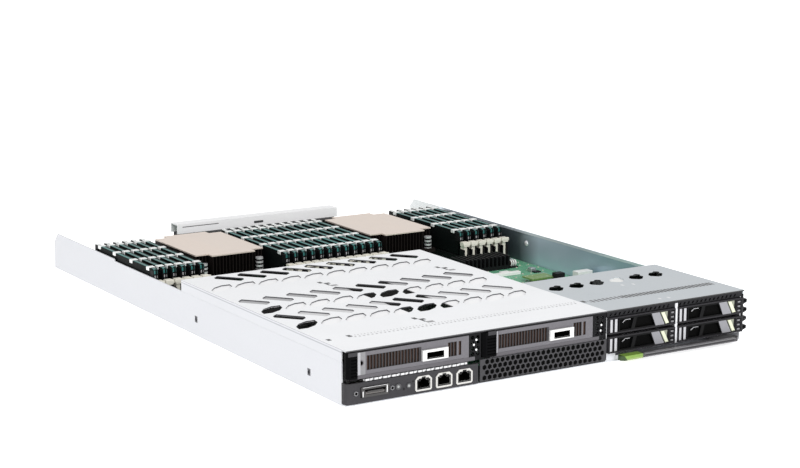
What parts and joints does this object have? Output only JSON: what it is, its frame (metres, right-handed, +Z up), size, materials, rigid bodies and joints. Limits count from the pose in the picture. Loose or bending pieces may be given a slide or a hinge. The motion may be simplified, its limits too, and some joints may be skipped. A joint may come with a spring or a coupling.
{
  "type": "server node",
  "caption": "Low full-width server node with card slots and pull-out drives at the front, memory banks and finned heat sinks behind, and an ejector lever with a green grip.",
  "frame": {"origin": "underside of the tray, half way across its width and along its depth", "axes": "+X to the right seen from the front, +Y from the front to the back, +Z up"},
  "size_m": [0.416, 0.6212, 0.0461],
  "materials": {
    "tray_metal": "satin",
    "wall_metal": "satin",
    "cover_white": "satin",
    "liner_white": "matte",
    "cover_grey": "satin",
    "panel_dark": "matte",
    "frame_dark": "satin",
    "mesh_dark": "satin",
    "strip_dark": "satin",
    "bracket_brown": "satin",
    "clip_grey": "satin",
    "board_green": "satin",
    "port_white": "satin",
    "jack_ivory": "satin",
    "video_metal": "satin",
    "button_grey": "satin",
    "cage_steel": "satin",
    "carrier_grey": "satin",
    "drive_shell": "satin",
    "handle_grey": "satin",
    "release_grey": "satin",
    "lever_dark": "satin",
    "grip_green": "satin",
    "pin_steel": "satin",
    "standoff_brass": "satin",
    "contact_silver": "bright",
    "socket_black": "matte",
    "chip_metal": "satin",
    "fin_brown": "satin",
    "plate_copper": "satin",
    "module_teal": "satin",
    "latch_ivory": "satin",
    "sink_black": "matte",
    "mezzanine_olive": "satin",
    "connector_black": "matte"
  },
  "bodies": {
    "chassis": {"base_plate": "tray_metal", "left_wall": "tray_metal", "right_wall": "wall_metal", "rear_panel": "tray_metal", "rear_bridge": "tray_metal", "left_cover": "cover_white", "cover_liner": "liner_white", "right_cover": "cover_grey", "connector_panel": "panel_dark", "front_frame": "frame_dark", "mesh_grille": "mesh_dark", "drive_grille": "strip_dark", "pcie_brackets": "bracket_brown", "pcie_cards": "board_green", "pcie_ports": "port_white", "riser_cards": "board_green", "io_board": "board_green", "rj45_jacks": "jack_ivory", "video_port": "video_metal", "cage_uprights": "cage_steel", "cage_shelves": "cage_steel", "drive_backplane": "board_green", "ejector_pivot": "pin_steel", "emi_strips": "contact_silver", "motherboard": "board_green", "standoffs": "standoff_brass", "cpu_sockets": "socket_black", "processors": "chip_metal", "heatsink_fins": "fin_brown", "heatsink_plates": "plate_copper", "heatsink_screws": "pin_steel", "dimm_sockets": "socket_black", "memory_modules": "module_teal", "chipset_heatsink": "sink_black", "mezzanine_card": "mezzanine_olive", "rear_connectors": "connector_black"},
    "lever": {"ejector_lever": "lever_dark", "ejector_grip": "grip_green"},
    "clip_left": {"pcie_latch_left": "clip_grey"},
    "clip_right": {"pcie_latch_right": "clip_grey"},
    "power": {"power_button": "button_grey"},
    "identify": {"id_button": "button_grey"},
    "front_latch": {"front_latches": "latch_ivory"},
    "rear_latch": {"rear_latches": "latch_ivory"},
    "sled_1": {"carrier_1": "carrier_grey", "drive_1": "drive_shell"},
    "pull_1": {"handle_1": "handle_grey"},
    "button_1": {"release_1": "release_grey"},
    "sled_2": {"carrier_2": "carrier_grey", "drive_2": "drive_shell"},
    "pull_2": {"handle_2": "handle_grey"},
    "button_2": {"release_2": "release_grey"},
    "sled_3": {"carrier_3": "carrier_grey", "drive_3": "drive_shell"},
    "pull_3": {"handle_3": "handle_grey"},
    "button_3": {"release_3": "release_grey"},
    "sled_4": {"carrier_4": "carrier_grey", "drive_4": "drive_shell"},
    "pull_4": {"handle_4": "handle_grey"},
    "button_4": {"release_4": "release_grey"}
  },
  "joints": [
    {"name": "lever_swing", "type": "hinge", "parent": "chassis", "child": "lever", "pos_m": [0.177, -0.299, 0.0052], "axis": [0, 0, 1], "range_deg": [0, 65]},
    {"name": "clip_left_swing", "type": "hinge", "parent": "chassis", "child": "clip_left", "pos_m": [-0.2018, -0.3024, 0.0333], "axis": [0, 0, -1], "range_deg": [0, 90]},
    {"name": "clip_right_swing", "type": "hinge", "parent": "chassis", "child": "clip_right", "pos_m": [-0.073, -0.3024, 0.0333], "axis": [0, 0, -1], "range_deg": [0, 90]},
    {"name": "power_press", "type": "slide", "parent": "chassis", "child": "power", "axis": [0, 1, 0], "range_m": [0, 0.001], "stiffness_N_per_m": 400},
    {"name": "identify_press", "type": "slide", "parent": "chassis", "child": "identify", "axis": [0, 1, 0], "range_m": [0, 0.001], "stiffness_N_per_m": 400},
    {"name": "sled_1_slide", "type": "slide", "parent": "chassis", "child": "sled_1", "axis": [0, -1, 0], "range_m": [0, 0.105]},
    {"name": "pull_1_swing", "type": "hinge", "parent": "sled_1", "child": "pull_1", "pos_m": [0.0657, -0.304, 0.0325], "axis": [0, 0, -1], "range_deg": [0, 70]},
    {"name": "button_1_press", "type": "slide", "parent": "sled_1", "child": "button_1", "axis": [0, 1, 0], "range_m": [0, 0.0015], "stiffness_N_per_m": 400},
    {"name": "sled_2_slide", "type": "slide", "parent": "chassis", "child": "sled_2", "axis": [0, -1, 0], "range_m": [0, 0.105]},
    {"name": "pull_2_swing", "type": "hinge", "parent": "sled_2", "child": "pull_2", "pos_m": [0.1416, -0.304, 0.0325], "axis": [0, 0, -1], "range_deg": [0, 70]},
    {"name": "button_2_press", "type": "slide", "parent": "sled_2", "child": "button_2", "axis": [0, 1, 0], "range_m": [0, 0.0015], "stiffness_N_per_m": 400},
    {"name": "sled_3_slide", "type": "slide", "parent": "chassis", "child": "sled_3", "axis": [0, -1, 0], "range_m": [0, 0.105]},
    {"name": "pull_3_swing", "type": "hinge", "parent": "sled_3", "child": "pull_3", "pos_m": [0.0657, -0.304, 0.0157], "axis": [0, 0, -1], "range_deg": [0, 70]},
    {"name": "button_3_press", "type": "slide", "parent": "sled_3", "child": "button_3", "axis": [0, 1, 0], "range_m": [0, 0.0015], "stiffness_N_per_m": 400},
    {"name": "sled_4_slide", "type": "slide", "parent": "chassis", "child": "sled_4", "axis": [0, -1, 0], "range_m": [0, 0.105]},
    {"name": "pull_4_swing", "type": "hinge", "parent": "sled_4", "child": "pull_4", "pos_m": [0.1416, -0.304, 0.0157], "axis": [0, 0, -1], "range_deg": [0, 70]},
    {"name": "button_4_press", "type": "slide", "parent": "sled_4", "child": "button_4", "axis": [0, 1, 0], "range_m": [0, 0.0015], "stiffness_N_per_m": 400},
    {"name": "front_latch_tip", "type": "hinge", "parent": "chassis", "child": "front_latch", "pos_m": [0, 0.0555, 0.0154], "axis": [1, 0, 0], "range_deg": [0, 30]},
    {"name": "rear_latch_tip", "type": "hinge", "parent": "chassis", "child": "rear_latch", "pos_m": [0, 0.19785, 0.0154], "axis": [-1, 0, 0], "range_deg": [0, 30]}
  ]
}
